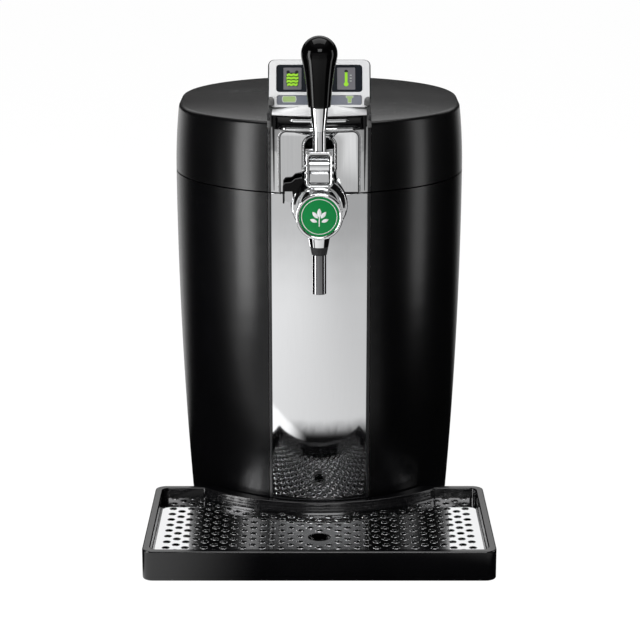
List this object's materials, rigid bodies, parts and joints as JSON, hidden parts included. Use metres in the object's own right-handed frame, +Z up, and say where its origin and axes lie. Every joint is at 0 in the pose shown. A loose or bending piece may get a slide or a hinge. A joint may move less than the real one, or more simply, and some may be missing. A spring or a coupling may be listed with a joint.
{
  "type": "mini keg beer dispenser",
  "caption": "Countertop cooler for a mini keg: a black column with hinged lid, lever tap with nozzle, control console, polished front panel and a perforated drip tray.",
  "frame": {"origin": "middle of the footprint's bounding box, on the surface that the feet stand on", "axes": "+Z up, -Y to the front where the tap and tray are, +X to the right seen from the front"},
  "size_m": [0.314, 0.44, 0.4715],
  "materials": {
    "black_satin": "satin black moulded plastic",
    "black_lid": "fine-grained black moulded plastic",
    "black_gloss": "polished black moulded plastic",
    "black_trim": "semi-gloss black trim",
    "polished_steel": "mirror-polished stainless sheet",
    "chrome": "bright chrome plate",
    "silver_paint": "pale silver painted plastic",
    "steel": "plain steel",
    "aluminium": "satin aluminium",
    "foam": "rigid insulating foam",
    "white_plastic": "pale grey moulded liner",
    "rubber": "matt black rubber",
    "glass_dark": "dark tinted window",
    "lcd": "grey display tile",
    "key_grey": "grey key cap",
    "badge_green": "green domed badge",
    "board": "circuit board",
    "ceramic": "white ceramic",
    "red_plastic": "red rocker"
  },
  "bodies": {
    "base": {"base_shell": "black_satin", "panel_frame": "black_trim", "front_panel": "polished_steel", "base_plate": "black_satin", "feet": "rubber", "board_screws": "steel", "cooling_chamber": "aluminium", "insulation_jacket": "foam", "chamber_deck": "black_satin", "temperature_probe": "steel", "cold_block": "aluminium", "peltier_module": "ceramic", "heat_sink": "aluminium", "fan_frame": "black_satin", "fan_screws": "steel", "rear_grille": "black_satin", "power_inlet": "black_trim", "switch_housing": "black_trim", "power_board": "board", "hinge_bracket": "black_trim", "hinge_pin": "steel", "bracket_screws": "steel", "tap_body": "chrome", "tap_nut": "steel", "badge_bezel": "chrome", "badge_disc": "badge_green", "nozzle_collar": "rubber", "nozzle_tube": "steel", "lever_pin": "steel"},
    "fan": {"fan_rotor": "black_satin"},
    "rocker": {"switch_rocker": "red_plastic"},
    "lid": {"hinge_leaf": "black_trim", "leaf_screws": "steel", "lid_shell": "black_lid", "lid_liner": "white_plastic", "lid_insulation": "foam", "lid_gasket": "rubber", "lid_frame": "black_trim", "lid_fascia": "chrome", "console_bezel": "silver_paint", "console_housing": "black_lid", "console_visor": "silver_paint", "display_window": "glass_dark", "level_display": "lcd", "temperature_display": "lcd", "display_board": "board"},
    "level_key": {"level_button": "key_grey"},
    "temperature_key": {"temperature_button": "key_grey"},
    "ring": {"lock_ring": "chrome"},
    "lever": {"lever_fork": "chrome", "lever_ferrule": "chrome", "handle_grip": "black_gloss"},
    "plunger": {"valve_plunger": "steel"},
    "tray": {"drip_tray": "black_gloss"},
    "grille": {"drip_grille": "polished_steel"}
  },
  "joints": [
    {"name": "lid_hinge", "type": "hinge", "parent": "base", "child": "lid", "pos_m": [0, 0.214, 0.328], "axis": [-1, 0, 0], "range_deg": [0, 85]},
    {"name": "tap_lever", "type": "hinge", "parent": "base", "child": "lever", "pos_m": [0, -0.133, 0.3575], "axis": [1, 0, 0], "range_deg": [0, 36]},
    {"name": "valve_slide", "type": "slide", "parent": "base", "child": "plunger", "axis": [0, 1, 0], "range_m": [0, 0.012]},
    {"name": "ring_turn", "type": "hinge", "parent": "base", "child": "ring", "pos_m": [0, -0.097, 0.314], "axis": [0, -1, 0], "range_deg": [0, 40]},
    {"name": "level_press", "type": "slide", "parent": "lid", "child": "level_key", "axis": [0, 0.866, -0.5], "range_m": [0, 0.0012], "stiffness_N_per_m": 300, "springref_m": -0.001},
    {"name": "temperature_press", "type": "slide", "parent": "lid", "child": "temperature_key", "axis": [0, 0.866, -0.5], "range_m": [0, 0.0012], "stiffness_N_per_m": 300, "springref_m": -0.001},
    {"name": "power_rock", "type": "hinge", "parent": "base", "child": "rocker", "pos_m": [0.022, 0.204, 0.062], "axis": [-1, 0, 0], "range_deg": [0, 16]},
    {"name": "fan_spin", "type": "hinge", "parent": "base", "child": "fan", "pos_m": [0, 0.186, 0.19], "axis": [0, 1, 0], "continuous": true},
    {"name": "tray_slide", "type": "slide", "parent": "base", "child": "tray", "axis": [0, -1, 0], "range_m": [0, 0.12]},
    {"name": "grille_lift", "type": "slide", "parent": "tray", "child": "grille", "axis": [0, 0, 1], "range_m": [0, 0.05]}
  ],
  "couplings": [
    {"joint": "valve_slide", "follows": "tap_lever", "m_per_rad": 0.0189}
  ]
}
